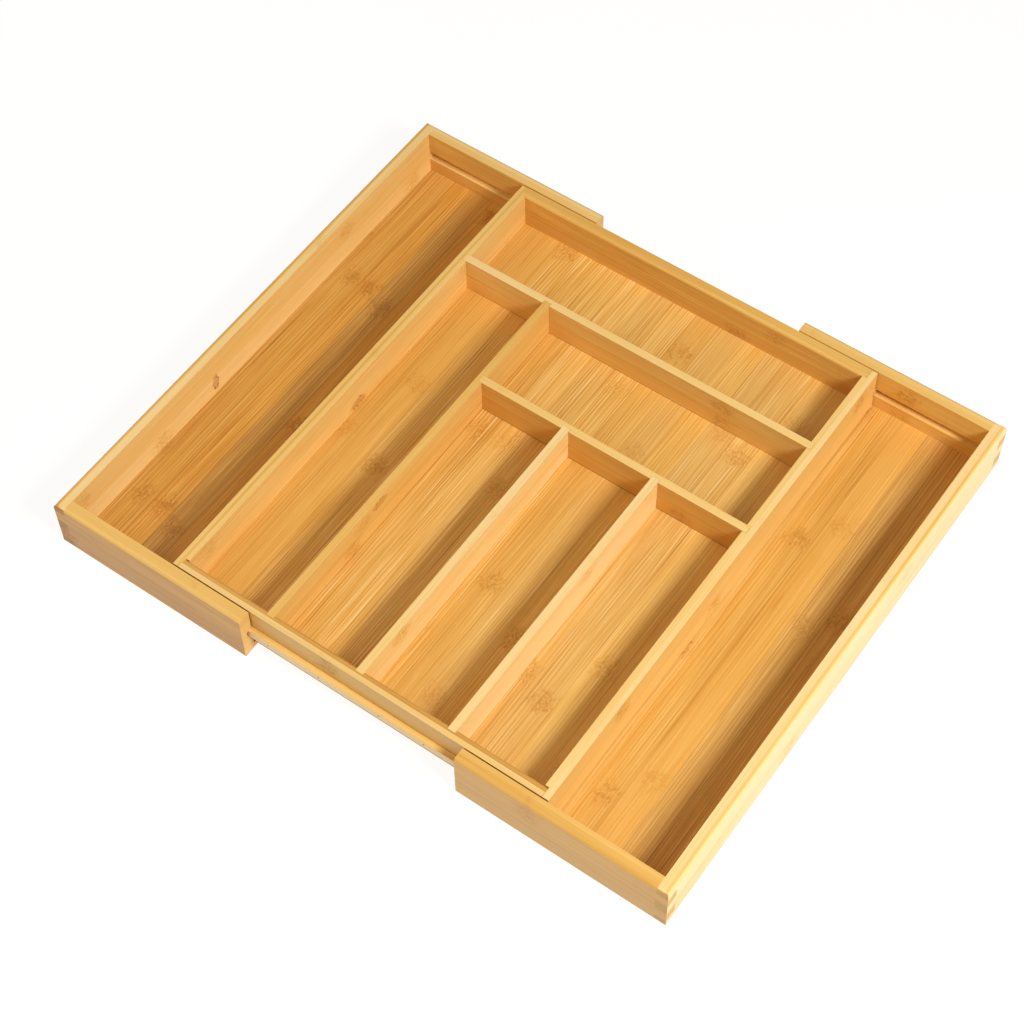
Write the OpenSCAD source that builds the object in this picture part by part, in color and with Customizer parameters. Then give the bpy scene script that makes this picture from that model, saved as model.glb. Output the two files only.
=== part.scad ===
// Expanding drawer organizer made of bamboo boards.
// A fixed centre tray with six compartments carries a slide rail along its front and
// back walls. Two side trays, each with a floor, an end wall and two grooved arms,
// slide out along those rails to the left and to the right.
// Origin: middle of the footprint on the underside. +X right, +Y back, +Z up.
// Both side trays are drawn pulled out as far as their stops let them go.

/* [Overall] */
// Depth of the organizer, front to back
depth = 432; // [360:1:500]
// Height of every wall
height = 45; // [42:1:65]
// Width of the centre tray
centre_w = 309; // [260:1:375]
// How far each side tray slides out
travel = 88; // [40:1:95]

/* [Boards] */
// Thickness of the front and back arms of the side trays
arm_t = 10; // [9.5:0.5:12]
// Thickness of the end walls of the side trays
end_t = 9; // [8:0.5:12]
// Thickness of the walls of the centre tray
wall_t = 8; // [7.5:0.5:10]
// Thickness of the dividers
divider_t = 6; // [6:0.5:8]
// Thickness of the floor panels
floor_t = 5; // [4:0.5:6]
// Radius of the long rounded edges
edge_r = 3; // [1:0.5:3]
// Radius of the eased lower edges
foot_r = 1; // [0.5:0.25:1.5]

/* [Compartments] */
// Depth of the wide compartment at the back
back_room = 70; // [50:1:85]
// Depth of the second wide compartment
middle_room = 78; // [50:1:95]

/* [Slides] */
// Height of the lower side of the grooves above the underside
groove_z = 17; // [15:0.5:19]
// Height of the grooves
groove_h = 8; // [6:0.5:9]
// Depth of the grooves in the arms
groove_d = 5; // [4.5:0.25:5.5]
// How far the rails stand out from the centre tray
rail_out = 4; // [3:0.25:4.5]
// Depth that the rails are let into the centre tray
rail_in = 2; // [1:0.25:2]
// Clearance above and below the rails in their grooves
rail_play = 0.3; // [0.2:0.05:0.5]
// Gap between the arms and the centre tray
side_gap = 1; // [0.5:0.1:1.5]

/* [Joinery] */
// Depth of the housings that hold the divider ends
housing = 3; // [2:0.25:3]
// Overlap of the lap joints at the corners of the centre tray
corner_lap = 3; // [2:0.25:4]
// Depth of the floor panels in the side trays' arms and end walls
side_floor_in = 5; // [3:0.25:5]
// Depth of the floor panel in the centre tray's walls
centre_floor_in = 4; // [2:0.25:4]
// Share of the height in the top and the bottom finger of a corner joint
end_finger_share = 0.15; // [0.15:0.01:0.2]

/* [Stops and pins] */
// Width of the stop battens
stop_w = 10; // [8:0.5:14]
// Height of the stop battens
stop_h = 3; // [2.5:0.25:4]
// Clearance round the stop battens
stop_play = 0.5; // [0.3:0.1:0.8]
// Gap under the centre tray's walls
wall_lift = 1; // [0.5:0.25:1]
// Gap between the trays' end walls and the centre tray when pushed in
closed_gap = 1; // [0.5:0.25:2]
// Gap between the two trays' arms when pushed in
meeting_gap = 0.5; // [0.3:0.1:1]
// Diameter of the pins that hold the rails
pin_d = 1.4; // [1:0.1:1.8]
// Length of the pins
pin_l = 8; // [6:0.5:8]

/* [Hidden] */
$fn = 48;
// Spare length by which a cutter runs past the surface that it cuts
spare = 2;

// Half sizes of the centre tray, outside and inside
centre_x = centre_w / 2;
centre_y = depth / 2 - arm_t - side_gap;
inner_x = centre_x - wall_t;
inner_y = centre_y - wall_t;

// Side trays: width pushed in, length of the arms, half width pulled out
closed_w = centre_w + 2 * (end_t + closed_gap);
arm_l = (closed_w - meeting_gap) / 2;
open_x = closed_w / 2 + travel;
arm_in_y = depth / 2 - arm_t;
end_in_x = open_x - end_t;
arm_end_x = open_x - arm_l;

// Levels of the centre tray
wall_z = floor_t + wall_lift;
centre_floor_z = floor_t + stop_h + stop_play;
floor_top = centre_floor_z + floor_t;

// Levels of the finger joints, from the underside up
end_finger = height * end_finger_share;
mid_finger = (height - 2 * end_finger) / 3;
finger_z = [0, end_finger, end_finger + mid_finger, end_finger + 2 * mid_finger, height - end_finger, height];
arm_fingers = [1, 3];

// Dividers: the cross dividers' front faces and the column dividers' left faces
long_y = inner_y - back_room - divider_t;
short_y = long_y - middle_room - divider_t;
column_w = (2 * inner_x - 3 * divider_t) / 4;
column_x = [for (i = [1:3]) -inner_x + i * column_w + (i - 1) * divider_t];

// Places of the pins along each rail
pin_x = [-116, -72, -29, 21, 58, 108];

// Board colours
light_bamboo = [0.93, 0.76, 0.48];
warm_bamboo = [0.86, 0.64, 0.35];
floor_bamboo = [0.82, 0.57, 0.28];
pin_steel = [0.35, 0.30, 0.25];

// ---- Shared shapes ----

// Box between two opposite corners
module box(low, high) {
  translate(low) cube(high - low);
}

// Everything outside a rounded edge of radius r that runs along Z at the origin,
// for a board in the +X +Y quarter
module edge_waste(r, length) {
  linear_extrude(length)
    difference() {
      translate([-spare, -spare]) square(r + spare);
      translate([r, r]) circle(r);
    }
}

// Edge waste along X, for a board that lies towards +Y and below z
module top_waste_x(y, z, r, x0, x1) {
  translate([x0, y, z]) rotate([0, 90, 0]) edge_waste(r, x1 - x0);
}

// Edge waste along X, for a board that lies towards +Y and above z
module foot_waste_x(y, z, r, x0, x1) {
  mirror([0, 0, 1]) top_waste_x(y, -z, r, x0, x1);
}

// Edge waste along Y, for a board that lies towards +X and below z
module top_waste_y(x, z, r, y0, y1) {
  translate([x, y0, z]) rotate([-90, 0, 0]) edge_waste(r, y1 - y0);
}

// Edge waste along Y, for a board that lies towards +X and above z
module foot_waste_y(x, z, r, y0, y1) {
  mirror([0, 0, 1]) top_waste_y(x, -z, r, y0, y1);
}

// ---- Dividers, as the blocks that their housings fit ----

module long_cross_block(extra = 0) {
  box([-inner_x - housing, long_y, floor_top],
      [inner_x + housing, long_y + divider_t, height + extra]);
}

module long_column_block(extra = 0) {
  box([column_x[0], -inner_y - housing, floor_top],
      [column_x[0] + divider_t, long_y + housing, height + extra]);
}

module short_cross_block(extra = 0) {
  box([column_x[0] + divider_t - housing, short_y, floor_top],
      [inner_x + housing, short_y + divider_t, height + extra]);
}

module short_column_block(i, extra = 0) {
  box([column_x[i], -inner_y - housing, floor_top],
      [column_x[i] + divider_t, short_y + housing, height + extra]);
}

module long_cross_divider() {
  color(light_bamboo)
    difference() {
      long_cross_block();
      long_column_block(spare);
    }
}

module long_column_divider() {
  color(light_bamboo)
    difference() {
      long_column_block();
      short_cross_block(spare);
    }
}

module short_cross_divider() {
  color(light_bamboo)
    difference() {
      short_cross_block();
      short_column_block(1, spare);
      short_column_block(2, spare);
    }
}

module middle_column_divider() {
  color(light_bamboo) short_column_block(1);
}

module right_column_divider() {
  color(light_bamboo) short_column_block(2);
}

// ---- Slide rails and their pins, drawn for the front ----

module rail_block() {
  box([-centre_x, -centre_y - rail_out, groove_z + rail_play],
      [centre_x, -centre_y + rail_in, groove_z + groove_h - rail_play]);
}

module pin_set() {
  for (x = pin_x)
    translate([x, -centre_y - rail_out, groove_z + groove_h / 2])
      rotate([-90, 0, 0]) cylinder(h = pin_l, d = pin_d);
}

module slide_rail() {
  difference() {
    rail_block();
    pin_set();
  }
}

module front_slide_rail() {
  color(light_bamboo) slide_rail();
}

module back_slide_rail() {
  color(light_bamboo) mirror([0, 1, 0]) slide_rail();
}

module front_rail_pins() {
  color(pin_steel) pin_set();
}

module back_rail_pins() {
  color(pin_steel) mirror([0, 1, 0]) pin_set();
}

// ---- Centre tray ----

module centre_floor() {
  color(floor_bamboo)
    box([-inner_x - centre_floor_in, -inner_y - centre_floor_in, centre_floor_z],
        [inner_x + centre_floor_in, inner_y + centre_floor_in, floor_top]);
}

// Front wall before its housings are cut; its ends lap into the side walls
module front_wall_blank() {
  difference() {
    box([-inner_x - corner_lap, -centre_y, wall_z], [inner_x + corner_lap, -inner_y, height]);
    mirror([0, 1, 0])
      top_waste_x(inner_y, height, edge_r, -centre_x, centre_x);
  }
}

// Box that the front wall fills, with no rounded edge, for cutting the lap joints
module front_wall_socket() {
  box([-inner_x - corner_lap, -centre_y - spare, wall_z - spare],
      [inner_x + corner_lap, -inner_y, height + spare]);
}

module centre_front_wall() {
  color(warm_bamboo)
    difference() {
      front_wall_blank();
      centre_floor();
      rail_block();
      pin_set();
      long_column_block(spare);
      short_column_block(1, spare);
      short_column_block(2, spare);
    }
}

module centre_back_wall() {
  color(warm_bamboo)
    mirror([0, 1, 0])
      difference() {
        front_wall_blank();
        centre_floor();
        rail_block();
        pin_set();
      }
}

// Left wall before its divider housings are cut
module left_wall_blank() {
  difference() {
    box([-centre_x, -centre_y, wall_z], [-inner_x, centre_y, height]);
    front_wall_socket();
    mirror([0, 1, 0]) front_wall_socket();
    centre_floor();
    rail_block();
    mirror([0, 1, 0]) rail_block();
  }
}

module centre_left_wall() {
  color(warm_bamboo)
    difference() {
      left_wall_blank();
      long_cross_block(spare);
    }
}

module centre_right_wall() {
  color(warm_bamboo)
    difference() {
      mirror([1, 0, 0]) left_wall_blank();
      long_cross_block(spare);
      short_cross_block(spare);
    }
}

// ---- Side trays, drawn for the left ----

module side_floor() {
  box([-end_in_x - side_floor_in, -arm_in_y - side_floor_in, 0],
      [-arm_end_x, arm_in_y + side_floor_in, floor_t]);
}

// Corner fingers that belong to the front arm
module corner_fingers(extra = 0) {
  for (i = arm_fingers)
    box([-open_x - extra, -depth / 2 - extra, finger_z[i]],
        [-end_in_x, -arm_in_y, finger_z[i + 1]]);
}

// Rounded outer edges, the same on the end wall and the arms
module side_edge_waste() {
  for (flip = [0, 1])
    mirror([0, flip, 0]) {
      top_waste_x(-depth / 2, height, edge_r, -open_x - spare, -arm_end_x + spare);
      foot_waste_x(-depth / 2, 0, foot_r, -open_x - spare, -arm_end_x + spare);
    }
  top_waste_y(-open_x, height, edge_r, -depth / 2 - spare, depth / 2 + spare);
  foot_waste_y(-open_x, 0, foot_r, -depth / 2 - spare, depth / 2 + spare);
}

module side_end_wall() {
  difference() {
    box([-open_x, -depth / 2, 0], [-end_in_x, depth / 2, height]);
    side_edge_waste();
    corner_fingers(spare);
    mirror([0, 1, 0]) corner_fingers(spare);
    side_floor();
  }
}

module side_arm() {
  difference() {
    union() {
      box([-end_in_x, -depth / 2, 0], [-arm_end_x, -arm_in_y, height]);
      corner_fingers();
    }
    side_edge_waste();
    side_floor();
    box([-end_in_x, -arm_in_y - groove_d, groove_z],
        [-arm_end_x + spare, -arm_in_y + spare, groove_z + groove_h]);
  }
}

// Strip that meets the inside of the centre tray's side wall when the tray is out
module stop_batten() {
  box([-inner_x + stop_play, -inner_y + spare, floor_t],
      [-inner_x + stop_play + stop_w, inner_y - spare, floor_t + stop_h]);
}

module left_end_wall() {
  color(warm_bamboo) side_end_wall();
}

module left_front_arm() {
  color(light_bamboo) side_arm();
}

module left_back_arm() {
  color(light_bamboo) mirror([0, 1, 0]) side_arm();
}

module left_floor() {
  color(floor_bamboo) side_floor();
}

module left_stop_batten() {
  color(light_bamboo) stop_batten();
}

module right_end_wall() {
  color(warm_bamboo) mirror([1, 0, 0]) side_end_wall();
}

module right_front_arm() {
  color(light_bamboo) mirror([1, 0, 0]) side_arm();
}

module right_back_arm() {
  color(light_bamboo) mirror([1, 0, 0]) mirror([0, 1, 0]) side_arm();
}

module right_floor() {
  color(floor_bamboo) mirror([1, 0, 0]) side_floor();
}

module right_stop_batten() {
  color(light_bamboo) mirror([1, 0, 0]) stop_batten();
}

centre_floor();
centre_left_wall();
centre_right_wall();
centre_front_wall();
centre_back_wall();
front_slide_rail();
back_slide_rail();
front_rail_pins();
back_rail_pins();
long_cross_divider();
short_cross_divider();
long_column_divider();
middle_column_divider();
right_column_divider();
left_end_wall();
left_front_arm();
left_back_arm();
left_floor();
left_stop_batten();
right_end_wall();
right_front_arm();
right_back_arm();
right_floor();
right_stop_batten();
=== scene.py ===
import math

import bpy
from mathutils import Matrix, Vector


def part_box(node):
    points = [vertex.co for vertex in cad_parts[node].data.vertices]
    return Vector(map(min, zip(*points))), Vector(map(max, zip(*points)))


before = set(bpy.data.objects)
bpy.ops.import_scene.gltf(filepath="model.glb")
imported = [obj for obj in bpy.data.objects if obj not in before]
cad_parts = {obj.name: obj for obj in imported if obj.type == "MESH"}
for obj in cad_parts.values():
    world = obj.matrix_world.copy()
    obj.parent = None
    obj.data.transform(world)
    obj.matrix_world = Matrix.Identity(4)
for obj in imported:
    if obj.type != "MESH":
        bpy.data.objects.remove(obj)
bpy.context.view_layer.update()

MM = 0.001

# ---------------------------------------------------------------- camera

CAMERA_TARGET = Vector((-8.0, -16.4, 0.0)) * MM
CAMERA_DISTANCE = 1.626
CAMERA_AZIMUTH = math.radians(36.31)
CAMERA_ELEVATION = math.radians(56.71)
CAMERA_ROLL = math.radians(-1.146)
CAMERA_LENS = 80.83


def add_camera():
    """Long-lens camera above the front right, turned by a small roll."""
    sin_a, cos_a = math.sin(CAMERA_AZIMUTH), math.cos(CAMERA_AZIMUTH)
    sin_e, cos_e = math.sin(CAMERA_ELEVATION), math.cos(CAMERA_ELEVATION)
    back = Vector((sin_a * cos_e, -cos_a * cos_e, sin_e))
    level_right = Vector((cos_a, sin_a, 0.0))
    level_up = back.cross(level_right)
    right = level_right * math.cos(CAMERA_ROLL) + level_up * math.sin(CAMERA_ROLL)
    up = back.cross(right)
    data = bpy.data.cameras.new("camera")
    data.lens = CAMERA_LENS
    data.clip_start, data.clip_end = 0.05, 20.0
    camera = bpy.data.objects.new("camera", data)
    turn = Matrix((right, up, back)).transposed().to_4x4()
    camera.matrix_world = Matrix.Translation(CAMERA_TARGET + back * CAMERA_DISTANCE) @ turn
    bpy.context.scene.collection.objects.link(camera)
    bpy.context.scene.camera = camera


# ---------------------------------------------------------------- node graphs


class Graph:
    """Short names for building one material's nodes. A value is a socket or a number."""

    def __init__(self, name):
        self.material = bpy.data.materials.new(name)
        self.material.use_nodes = True
        self.tree = self.material.node_tree
        self.tree.nodes.clear()

    def node(self, kind, **settings):
        made = self.tree.nodes.new(kind)
        for key, value in settings.items():
            setattr(made, key, value)
        return made

    def put(self, socket, value):
        if isinstance(value, bpy.types.NodeSocket):
            self.tree.links.new(value, socket)
        else:
            socket.default_value = value

    def math(self, operation, a, b=0.0, c=0.0, clamp=False):
        made = self.node("ShaderNodeMath", operation=operation, use_clamp=clamp)
        for socket, value in zip(made.inputs, (a, b, c)):
            self.put(socket, value)
        return made.outputs[0]

    def add(self, *values):
        total = values[0]
        for value in values[1:]:
            total = self.math("ADD", total, value)
        return total

    def sub(self, a, b):
        return self.math("SUBTRACT", a, b)

    def mul(self, *values):
        product = values[0]
        for value in values[1:]:
            product = self.math("MULTIPLY", product, value)
        return product

    def floor(self, a):
        return self.math("FLOOR", a)

    def fraction(self, a):
        return self.math("FRACT", a)

    def ramp(self, value, low, high, to_low=0.0, to_high=1.0):
        """Smooth step from to_low at low to to_high at high."""
        made = self.node("ShaderNodeMapRange", interpolation_type="SMOOTHSTEP", clamp=True)
        for key, number in (("Value", value), ("From Min", low), ("From Max", high),
                            ("To Min", to_low), ("To Max", to_high)):
            self.put(made.inputs[key], number)
        return made.outputs[0]

    def vector(self, x, y, z):
        made = self.node("ShaderNodeCombineXYZ")
        for socket, value in zip(made.inputs, (x, y, z)):
            self.put(socket, value)
        return made.outputs[0]

    def noise(self, x, y, z, detail=2.0, roughness=0.5):
        """Noise from 0 to 1, centred on 0.5."""
        made = self.node("ShaderNodeTexNoise", noise_dimensions="3D", normalize=True)
        self.put(made.inputs["Vector"], self.vector(x, y, z))
        made.inputs["Scale"].default_value = 1.0
        made.inputs["Detail"].default_value = detail
        made.inputs["Roughness"].default_value = roughness
        return made.outputs["Fac"]

    def split(self, vector):
        """The x, y and z of a vector."""
        made = self.node("ShaderNodeSeparateXYZ")
        self.put(made.inputs[0], vector)
        return made.outputs

    def random(self, x, y, z=0.0):
        """Three steady random numbers from 0 to 1 for a cell."""
        made = self.node("ShaderNodeTexWhiteNoise", noise_dimensions="3D")
        self.put(made.inputs["Vector"], self.vector(x, y, z))
        parts = self.node("ShaderNodeSeparateColor")
        self.put(parts.inputs[0], made.outputs["Color"])
        return parts.outputs[0], parts.outputs[1], parts.outputs[2]

    def dots(self, x, y, z):
        """Distance to the nearest of scattered points."""
        made = self.node("ShaderNodeTexVoronoi", voronoi_dimensions="3D", feature="F1")
        self.put(made.inputs["Vector"], self.vector(x, y, z))
        made.inputs["Scale"].default_value = 1.0
        return made.outputs["Distance"]

    def colours(self, value, stops):
        """The colour at value along stops, a list of (place, colour)."""
        made = self.node("ShaderNodeValToRGB")
        self.put(made.inputs[0], value)
        elements = made.color_ramp.elements
        while len(elements) < len(stops):
            elements.new(1.0)
        for element, (place, colour) in zip(elements, stops):
            element.position = place
            element.color = (*colour, 1.0)
        return made.outputs[0]

    def mix(self, factor, a, b):
        """Colour a where factor is 0 and b where it is 1."""
        made = self.node("ShaderNodeMix", data_type="RGBA", blend_type="MIX")
        self.put(made.inputs["Factor"], factor)
        for socket, value in ((made.inputs[6], a), (made.inputs[7], b)):
            self.put(socket, value if isinstance(value, bpy.types.NodeSocket) else (*value, 1.0))
        return made.outputs[2]

    def finish(self, colour, roughness, height, depth, **shader_values):
        """Shader, bump and output. depth is the bump's depth in metres."""
        shader = self.node("ShaderNodeBsdfPrincipled")
        for key, value in shader_values.items():
            shader.inputs[key.replace("_", " ")].default_value = value
        self.put(shader.inputs["Base Color"], colour)
        self.put(shader.inputs["Roughness"], roughness)
        bump = self.node("ShaderNodeBump")
        bump.inputs["Strength"].default_value = 1.0
        bump.inputs["Distance"].default_value = depth
        self.put(bump.inputs["Height"], height)
        self.put(shader.inputs["Normal"], bump.outputs[0])
        output = self.node("ShaderNodeOutputMaterial")
        self.put(output.inputs[0], shader.outputs[0])
        return self.material


# ---------------------------------------------------------------- bamboo

# Colours of bamboo from its darkest fibres to its palest strips
BAMBOO = [
    (0.00, (0.26, 0.085, 0.010)),
    (0.20, (0.52, 0.222, 0.030)),
    (0.40, (0.70, 0.355, 0.064)),
    (0.55, (0.80, 0.456, 0.108)),
    (0.70, (0.87, 0.545, 0.158)),
    (0.85, (0.93, 0.635, 0.235)),
    (1.00, (0.97, 0.730, 0.370)),
]
HONEY = (0.80, 0.365, 0.060)
JOINT_BROWN = (0.50, 0.200, 0.035)
SCAR_ORANGE = (0.55, 0.200, 0.030)
SCAR_BROWN = (0.20, 0.060, 0.010)
GREY_TAN = (0.60, 0.400, 0.170)
X, Y, Z = 0, 1, 2

# Sizes of the bamboo's pattern in mm. A streak, line, vein or rib pattern is (length, width), and the
# painted shade at the foot, the edge wear and the glue line are (where their fade starts, where it ends).
STRIP = 20.5
FLOOR_JOINT_SPACING = 240.0
WALL_JOINT_SPACING = 300.0
JOINT_REACH = 12.0
FIBRE_PUSH = 5.0
OWN_RUN = 900.0
GLUE_LINE = (0.10, 0.45)
BAND_BLUR = 0.3
BROAD_STREAK = (260.0, 9.0)
MEDIUM_LINE = (70.0, 1.1)
FINE_LINE = (60.0, 0.75)
VEIN = (900.0, 11.0)
RIB_PITCH = 2.4
RIB_WANDER = (180.0, 14.0)
RIB_FADE = (80.0, 5.0)
PAINTED_FOOT_SHADE = (0.2, 1.1)
EDGE_WEAR = (0.9, 0.2)
BUMP_DEPTH = 0.08

# Step between the seeds of two boards
SEED_STEP = 7.3

# Cells in a mm, along, across and through the board
CURL = (0.30, 0.20, 1.0)
FLAKES = (0.42, 0.50, 0.30)
CLOUDS = (0.006, 0.030, 0.030)
PORES = (0.04, 1.10, 1.10)

# Cells in a mm of the unevenness of a rim, and how uneven the rim is
JOINT_RIM = (0.16, 1.5)
SCAR_RIM = (0.25, 1.1)

# How much each part of the pattern makes the tone paler (+) or darker (-)
BROAD_TONE = 0.18
CLOUD_TONE = 0.25
RIB_TONE = 0.085
MEDIUM_TONE = 0.42
PALE_LINE_TONE = 0.20
DARK_LINE_TONE = -0.08
GLUE_TONE = -0.16
VEIN_TONE = -0.09
PORE_TONE = -0.03
JOINT_TONE = -0.05
FLAKE_TONE = -0.45
# Painted shade along the foot of upright boards
PAINTED_FOOT_SHADE_TONE = -0.45
WEAR_TONE = 0.12
END_STREAK_TONE = 0.3
END_PORE_TONE = -0.25


class Bamboo(Graph):
    """Laminated bamboo for one board. Lengths are in mm.

    u runs along the fibres, v across the strips and w through the board. top is 1 on the top and bottom
    edges of an upright board and 0 elsewhere, and side is the opposite. strip is a strip's width, and
    first is how much of a strip is cut away at the board's low side.
    """

    def __init__(self, node, grain, across, seed, strip, first):
        super().__init__("bamboo_" + node)
        self.seed = seed
        self.strip_width = strip
        self.axes = (grain, across, 3 - grain - across)
        self.low, self.high = (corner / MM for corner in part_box(node))
        where = self.node("ShaderNodeTexCoord")
        place = self.split(where.outputs["Object"])
        facing = self.split(where.outputs["Normal"])
        self.u, self.v, self.w = (self.mul(place[axis], 1.0 / MM) for axis in self.axes)
        self.height = self.mul(place[Z], 1.0 / MM)
        self.end_grain = self.ramp(self.math("ABSOLUTE", facing[grain]), 0.6, 0.8)
        self.top = self.ramp(self.math("ABSOLUTE", facing[Z]), 0.2, 0.45) if across == Z else 0.0
        self.side = self.sub(1.0, self.top)
        strip_place = self.add(self.mul(self.sub(self.v, self.low[across]), 1.0 / strip), first)
        self.strip_number = self.floor(strip_place)
        self.in_strip = self.fraction(strip_place)

    def patch(self, du, dv, cells, ragged):
        """Distance from the middle of a patch, about 1 at its rim. ragged is how uneven the rim is and
        cells how fine its unevenness."""
        edge = self.noise(self.mul(self.u, cells), self.mul(self.v, 1.4 * cells), self.seed, 3.0)
        distance = self.math("SQRT", self.add(self.mul(du, du), self.mul(dv, dv)))
        return self.add(distance, self.mul(self.sub(edge, 0.5), ragged))

    def stem_joints(self, spacing):
        """1 inside the stem joints. Each strip has one every spacing mm, at its own place."""
        start, size, _ = self.random(self.strip_number, self.seed, 3.0)
        turns = self.add(self.mul(self.u, 1.0 / spacing), start, 100.0)
        along = self.mul(self.sub(self.fraction(turns), 0.5), spacing / JOINT_REACH)
        across = self.mul(self.sub(self.in_strip, 0.5), 1.7)
        away = self.patch(along, across, *JOINT_RIM)
        weight = self.mul(self.ramp(size, 0.0, 1.0, 0.45, 1.0), self.sub(1.0, self.mul(self.top, 0.4)))
        return self.mul(self.ramp(away, 0.2, 1.15, 1.0, 0.0), weight)

    def curl(self):
        """How far fibres bend to the side in a stem joint, from -0.5 to 0.5."""
        along, across, through = CURL
        return self.sub(self.noise(self.mul(self.u, along), self.mul(self.v, across),
                                   self.mul(self.w, through)), 0.5)

    def flakes(self, inside, curl):
        """Small brown flakes in the stem joints."""
        along, across, through = FLAKES
        noise = self.noise(self.add(self.mul(self.u, along), self.mul(curl, 2.0)), self.mul(self.v, across),
                           self.mul(self.w, through), 2.0, 0.6)
        return self.mul(self.sub(0.60, noise), inside, 1.7)

    def glue_lines(self):
        """1 on the thin dark line between two strips."""
        to_glue = self.mul(self.math("MINIMUM", self.in_strip, self.sub(1.0, self.in_strip)),
                           self.strip_width)
        return self.mul(self.ramp(to_glue, *GLUE_LINE, 1.0, 0.0), self.side)

    def clouds(self):
        """Slow change of tone over the whole board, from -0.5 to 0.5."""
        along, across, through = CLOUDS
        return self.sub(self.noise(self.mul(self.u, along), self.mul(self.v, across),
                                   self.add(self.mul(self.w, through), self.seed)), 0.5)

    def bend_fibres(self, inside, curl):
        """Fibres are pushed sideways by curl inside a stem joint. Each strip has its own run of fibres."""
        push = self.mul(inside, curl, FIBRE_PUSH)
        own, _, _ = self.random(self.strip_number, self.seed, 8.0)
        self.run = self.add(self.u, self.mul(own, OWN_RUN))
        self.sideways = self.add(self.v, push)
        self.inward = self.add(self.w, push)

    def fibres(self, size, detail=1.0, offset=0.0):
        """Noise drawn out along the grain. size is the length and width of its cells, and offset keeps
        two patterns from falling together."""
        length, width = size
        return self.noise(self.mul(self.run, 1.0 / length),
                          self.add(self.mul(self.sideways, 1.0 / width), offset + self.seed),
                          self.mul(self.inward, 1.0 / width), detail, 0.55)

    def ribs(self):
        """Regular fine ribs that fade in and out, from -1 to 1."""
        wander = self.mul(self.fibres(RIB_WANDER, 1.0, 11.0), 14.0)
        turns = self.mul(self.add(self.sideways, self.inward), 2.0 * math.pi / RIB_PITCH)
        return self.mul(self.math("SINE", self.add(turns, wander)),
                        self.ramp(self.fibres(RIB_FADE, 1.0, 71.0), 0.36, 0.60))

    def veins(self):
        """Long thin dark lines, where wide streaks pass through their middle value."""
        away = self.math("ABSOLUTE", self.sub(self.fibres(VEIN, 2.0, 83.0), 0.5))
        return self.ramp(away, 0.0, 0.014, 1.0, 0.0)

    def pores(self):
        """Short dark dashes along the fibres, and dots in end grain."""
        along, across, through = PORES
        away = self.dots(self.mul(self.u, along), self.mul(self.sideways, across),
                         self.mul(self.inward, through))
        return self.ramp(away, 0.05, 0.2, 1.0, 0.0)

    def painted_foot_shade(self):
        """1 along the lower edge of an upright board, where shade is painted."""
        low, high = (self.low[Z] + height for height in PAINTED_FOOT_SHADE)
        return self.mul(self.ramp(self.height, low, high, 1.0, 0.0), self.side)

    def wear(self, fine):
        """1 along the upper edge of an upright board, broken up by the fine lines."""
        low, high = (self.high[Z] - depth for depth in EDGE_WEAR)
        return self.mul(self.ramp(self.height, low, high), self.side, self.ramp(fine, 0.2, 0.6))

    def top_bands(self, tone, bands):
        """Tone of the top edge, with bands for the layers of the board that show in it, and on the centre
        front wall bands of painted shade.
        """
        start = self.low[self.axes[2]]
        for low, high, change in bands:
            rise = self.ramp(self.w, start + low - BAND_BLUR, start + low + BAND_BLUR)
            fall = self.ramp(self.w, start + high - BAND_BLUR, start + high + BAND_BLUR, 1.0, 0.0)
            tone = self.add(tone, self.mul(rise, fall, change))
        return tone

    def bud_scar(self, colour, curl, along, up, reach, half_width):
        """An orange eye with a dark, broken rim. along and up are fractions of the board's box."""
        grain, across, _ = self.axes
        middle_u = self.low[grain] + along * (self.high[grain] - self.low[grain])
        middle_v = self.low[across] + up * (self.high[across] - self.low[across])
        away = self.patch(self.mul(self.sub(self.u, middle_u), 1.0 / reach),
                          self.mul(self.sub(self.v, middle_v), 1.0 / half_width), *SCAR_RIM)
        core = self.mul(self.ramp(away, 0.4, 1.0, 1.0, 0.0), self.side)
        rim = self.mul(self.ramp(away, 0.5, 0.75), self.ramp(away, 0.8, 1.05, 1.0, 0.0), self.side)
        colour = self.mix(self.mul(core, 0.55), colour, SCAR_ORANGE)
        return self.mix(self.mul(rim, self.ramp(curl, -0.02, 0.14, 0.1, 0.9)), colour, SCAR_BROWN)


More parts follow.
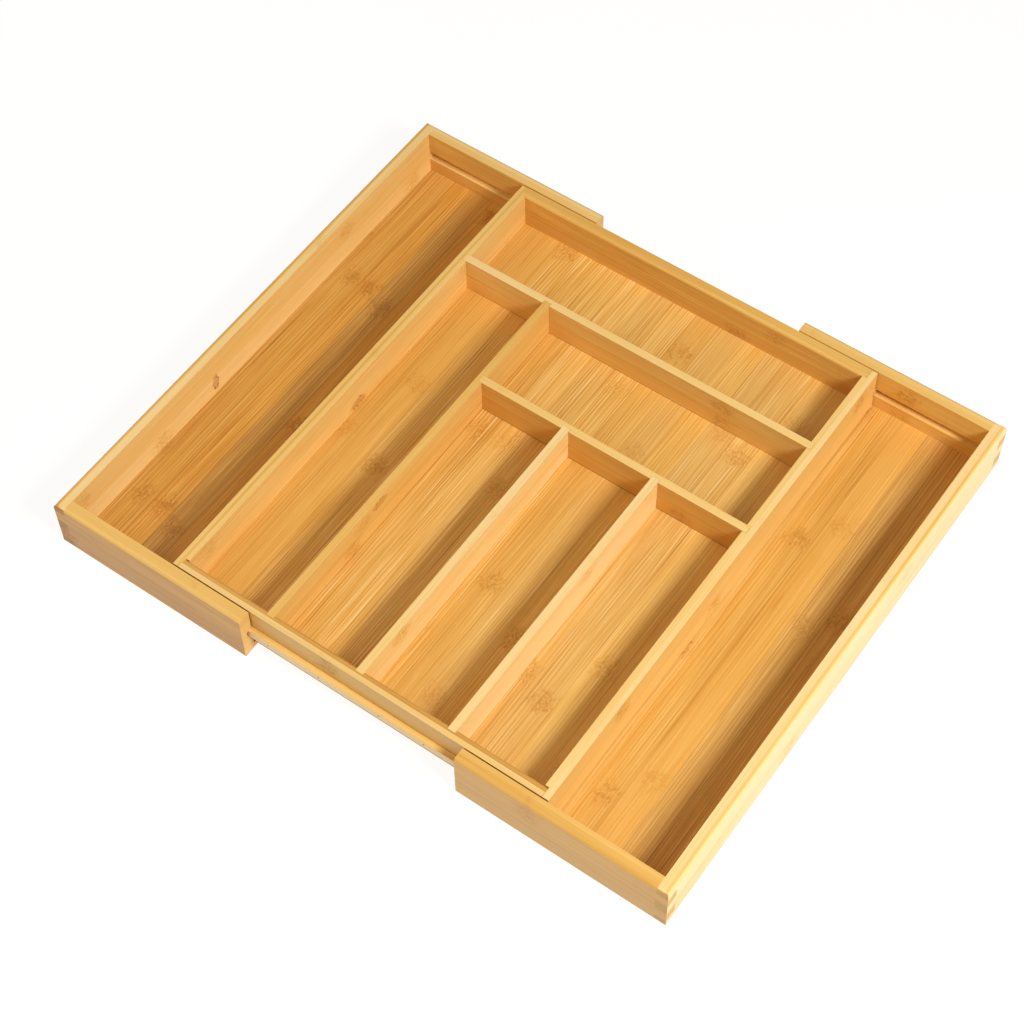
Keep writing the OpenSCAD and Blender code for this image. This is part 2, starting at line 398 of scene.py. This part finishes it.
def bamboo(node, grain, across, seed, tone=0.55, top_tone=0.8, end_tone=0.55, strip=STRIP, first=0.0,
           spread=0.16, lines=1.0, spacing=FLOOR_JOINT_SPACING, grey=0.0, scars=(), bands=()):
    """Bamboo for one board.
    grain and across are the axes (0, 1, 2) along the fibres and across the strips.
    tone, top_tone and end_tone are places in BAMBOO for faces, top edges and end grain.
    spread is how much the strips differ, lines how strong the fine lines are, grey how dull the colour is.
    bands are (low, high, tone change) in mm from the board's low side, across its top edge.
    scars are (along, up, half length, half width), the first two as fractions of the board."""
    g = Bamboo(node, grain, across, seed, strip, first)
    strip_tone, strip_lines, strip_hue = g.random(g.strip_number, seed)
    inside = g.stem_joints(spacing)
    curl = g.curl()
    flakes = g.flakes(inside, curl)
    g.bend_fibres(inside, curl)
    glue = g.glue_lines()
    pores = g.pores()
    broad = g.sub(g.fibres(BROAD_STREAK, 2.0), 0.5)
    medium = g.sub(g.fibres(MEDIUM_LINE, 1.0, 31.0), 0.5)
    fine = g.fibres(FINE_LINE, 1.0, 57.0)
    pale_lines = g.ramp(fine, 0.52, 0.72)
    dark_lines = g.ramp(fine, 0.28, 0.46, 1.0, 0.0)

    # Tone of the faces and the top edge, from 0 dark to 1 pale
    face_tone = g.add(tone, g.mul(g.sub(strip_tone, 0.5), spread))
    tones = g.add(g.mul(face_tone, g.side), g.mul(g.top_bands(top_tone, bands), g.top))
    strength = g.mul(g.ramp(strip_lines, 0.0, 1.0, 0.6, 1.3), lines, g.sub(1.0, g.mul(g.top, 0.55)),
                     g.sub(1.0, g.mul(inside, 0.5)))
    detail = g.add(g.mul(g.ribs(), RIB_TONE), g.mul(medium, MEDIUM_TONE),
                   g.mul(pale_lines, PALE_LINE_TONE), g.mul(dark_lines, DARK_LINE_TONE))
    base = g.add(tones, g.mul(broad, BROAD_TONE), g.mul(g.clouds(), CLOUD_TONE), g.mul(detail, strength),
                 g.mul(glue, GLUE_TONE), g.mul(g.veins(), VEIN_TONE), g.mul(pores, PORE_TONE),
                 g.mul(inside, JOINT_TONE), g.mul(flakes, FLAKE_TONE))
    end_base = g.add(end_tone, g.mul(broad, END_STREAK_TONE), g.mul(pores, END_PORE_TONE))
    base = g.add(g.mul(base, g.sub(1.0, g.end_grain)), g.mul(end_base, g.end_grain))

    # Uprights get painted shade along the foot, and are rubbed pale along the upper edge
    worn = 0.0
    if across == Z:
        worn = g.wear(fine)
        base = g.add(base, g.mul(g.painted_foot_shade(), PAINTED_FOOT_SHADE_TONE), g.mul(worn, WEAR_TONE))

    # Colour: some strips are warmer and some duller than the rest
    colour = g.colours(g.math("MAXIMUM", base, 0.0, clamp=True), BAMBOO)
    warm = g.mul(g.ramp(strip_hue, 0.0, 0.45, 2.5 * spread, 0.0), g.side, 1.2 - tone)
    dull = g.mul(g.ramp(strip_hue, 0.4, 1.0, 0.0, 1.5 * spread), g.side)
    colour = g.mix(warm, colour, HONEY)
    colour = g.mix(g.add(grey, g.mul(g.end_grain, 0.3), dull), colour, GREY_TAN)
    colour = g.mix(g.mul(g.math("MAXIMUM", flakes, 0.0, clamp=True), 0.9), colour, JOINT_BROWN)
    for scar in scars:
        colour = g.bud_scar(colour, curl, *scar)

    height = g.add(g.mul(fine, 0.7), medium, g.mul(flakes, -0.6), g.mul(pores, -0.4), g.mul(glue, -0.6))
    roughness = g.add(0.44, g.mul(medium, 0.25), g.mul(inside, 0.06), g.mul(g.end_grain, 0.15),
                      g.mul(worn, -0.08))
    return g.finish(colour, roughness, height, BUMP_DEPTH * MM,
                    IOR=1.48, Coat_Weight=0.05, Coat_Roughness=0.3)


def paint_boards():
    """Each board gets bamboo with its own direction, tone and seed."""
    floor = dict(grain=Y, across=X)
    along_x = dict(grain=X, across=Z)
    along_y = dict(grain=Y, across=Z)
    boards = {
        "centre_floor": dict(floor, tone=0.57, first=0.25, lines=1.25),
        "left_floor": dict(floor, tone=0.40, strip=17.8, first=0.4),
        "right_floor": dict(floor, tone=0.47, first=0.5),
        "left_stop_batten": dict(floor, tone=0.65),
        "right_stop_batten": dict(floor, tone=0.65),
        "centre_left_wall": dict(along_y, tone=0.74, top_tone=0.76, bands=[(2.8, 4.8, -0.2)],
                                 scars=[(0.47, 0.33, 9.0, 5.0)]),
        "centre_right_wall": dict(along_y, tone=0.69, top_tone=0.84, bands=[(4.5, 9.0, 0.08)]),
        # The two dark bands across the centre front wall's top are painted shade: a shadow line at a step,
        # then the shaded rounding of the inner edge.
        "centre_front_wall": dict(along_x, tone=0.56, top_tone=0.88, grey=0.12,
                                  bands=[(3.8, 4.8, -0.5), (4.8, 9.0, -0.42)]),
        "centre_back_wall": dict(along_x, tone=0.48, top_tone=0.58),
        "front_slide_rail": dict(along_x, tone=1.0, top_tone=0.76, first=0.3),
        "back_slide_rail": dict(along_x, tone=1.0, top_tone=0.76, first=0.3),
        "long_cross_divider": dict(along_x, tone=0.60, top_tone=0.88),
        "short_cross_divider": dict(along_x, tone=0.46, top_tone=0.80),
        "long_column_divider": dict(along_y, tone=0.60, top_tone=0.62, scars=[(0.36, 0.82, 9.0, 4.0)]),
        "middle_column_divider": dict(along_y, tone=0.88, top_tone=0.94),
        "right_column_divider": dict(along_y, tone=0.92, top_tone=0.95),
        "left_end_wall": dict(along_y, tone=0.82, top_tone=0.91, end_tone=0.10, bands=[(-1.0, 3.6, -0.32)],
                              scars=[(0.37, 0.38, 4.0, 9.0)]),
        "left_front_arm": dict(along_x, tone=0.34, top_tone=0.68),
        "left_back_arm": dict(along_x, tone=0.52, top_tone=0.78, bands=[(5.0, 7.6, 0.12)]),
        "right_end_wall": dict(along_y, tone=0.92, top_tone=0.93, end_tone=0.40, bands=[(5.6, 7.6, -0.22)]),
        "right_front_arm": dict(along_x, tone=0.49, top_tone=0.52, end_tone=0.50, bands=[(6.4, 11.0, 0.08)]),
        "right_back_arm": dict(along_x, tone=0.55, top_tone=0.68, end_tone=0.50, bands=[(5.0, 7.6, 0.08)]),
    }
    for number, (node, look) in enumerate(sorted(boards.items())):
        if look["across"] == Z:
            low, high = (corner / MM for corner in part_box(node))
            look.setdefault("strip", STRIP if "first" in look else (high.z - low.z) / 2.0)
            look.setdefault("lines", 0.7)
            look.setdefault("spacing", WALL_JOINT_SPACING)
            look.setdefault("spread", 0.07)
        put_material(node, bamboo(node, seed=number * SEED_STEP + 1.0, **look))


def pin_steel():
    """Dull blackened steel, unevenly stained."""
    g = Graph("pin_steel")
    place = g.split(g.node("ShaderNodeTexCoord").outputs["Object"])
    x, y, z = (g.mul(place[axis], 1.0 / MM) for axis in (X, Y, Z))
    grime = g.noise(g.mul(x, 2.5), g.mul(y, 2.5), g.mul(z, 2.5), 3.0)
    colour = g.mix(grime, (0.10, 0.065, 0.040), (0.24, 0.18, 0.13))
    return g.finish(colour, g.add(0.35, g.mul(grime, 0.3)), grime, 0.00005, Metallic=0.7)


def put_material(node, material):
    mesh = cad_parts[node].data
    mesh.materials.clear()
    mesh.materials.append(material)


# ---------------------------------------------------------------- eased edges


EASED_EDGE = 0.35 * MM


def ease_edges(node):
    """Sanded edges on a CAD board, as modifiers."""
    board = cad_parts[node]
    weld = board.modifiers.new("weld", "WELD")
    weld.merge_threshold = 1e-5
    bevel = board.modifiers.new("eased_edges", "BEVEL")
    bevel.width = EASED_EDGE
    bevel.segments = 2
    bevel.limit_method = "ANGLE"
    bevel.angle_limit = math.radians(50.0)
    bevel.use_clamp_overlap = True
    normals = board.modifiers.new("flat_faces", "WEIGHTED_NORMAL")
    normals.keep_sharp = False
    normals.weight = 90


# ---------------------------------------------------------------- light and floor

# Places and sizes in metres, powers in watts
KEY = dict(place=(1.225, -0.30, 1.295), size=(0.48, 0.40), power=27.0, colour=(1.0, 0.985, 0.96))
FILL = dict(place=(-0.90, -0.40, 1.00), size=(1.0, 1.0), power=6.5, colour=(1.0, 0.86, 0.66))
SURROUND_COLOUR = (1.0, 0.86, 0.66, 1.0)
SURROUND_STRENGTH = 0.20
FLOOR_SIZE = 12.0
FLOOR_GAP = 0.0004
FLOOR_GLOW = 0.90


def add_softbox(name, place, size, power, colour):
    """Rectangular light, aimed at the middle of the object."""
    data = bpy.data.lights.new(name, "AREA")
    data.shape = "RECTANGLE"
    data.size, data.size_y = size
    data.energy = power
    data.color = colour
    light = bpy.data.objects.new(name, data)
    light.location = place
    light.rotation_euler = (-Vector(place)).to_track_quat("-Z", "Y").to_euler()
    bpy.context.scene.collection.objects.link(light)


def add_light():
    """Soft key high on the right, weaker and wider fill on the left, and an even surround."""
    add_softbox("key", **KEY)
    add_softbox("fill", **FILL)
    world = bpy.data.worlds.new("surround")
    bpy.context.scene.world = world
    world.use_nodes = True
    background = world.node_tree.nodes["Background"]
    background.inputs["Color"].default_value = SURROUND_COLOUR
    background.inputs["Strength"].default_value = SURROUND_STRENGTH


def add_floor():
    """Wide white floor that glows, so that shadows on it stay pale."""
    bpy.ops.mesh.primitive_plane_add(size=FLOOR_SIZE, location=(0.0, 0.0, -FLOOR_GAP))
    floor = bpy.context.object
    floor.name = "studio_floor"
    g = Graph("studio_white")
    place = g.split(g.node("ShaderNodeTexCoord").outputs["Object"])
    paper = g.noise(g.mul(place[X], 3.0), g.mul(place[Y], 3.0), 0.0, 3.0)
    colour = g.mix(paper, (0.11, 0.11, 0.11), (0.13, 0.13, 0.13))
    g.finish(colour, 0.9, paper, 0.0001, Emission_Color=(1.0, 1.0, 1.0, 1.0), Emission_Strength=FLOOR_GLOW)
    floor.data.materials.append(g.material)


# ---------------------------------------------------------------- scene

add_camera()
bpy.context.scene.view_settings.view_transform = "Standard"
paint_boards()
for pins in ("front_rail_pins", "back_rail_pins"):
    put_material(pins, pin_steel())
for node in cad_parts:
    if "_rail" not in node:
        ease_edges(node)
add_light()
add_floor()
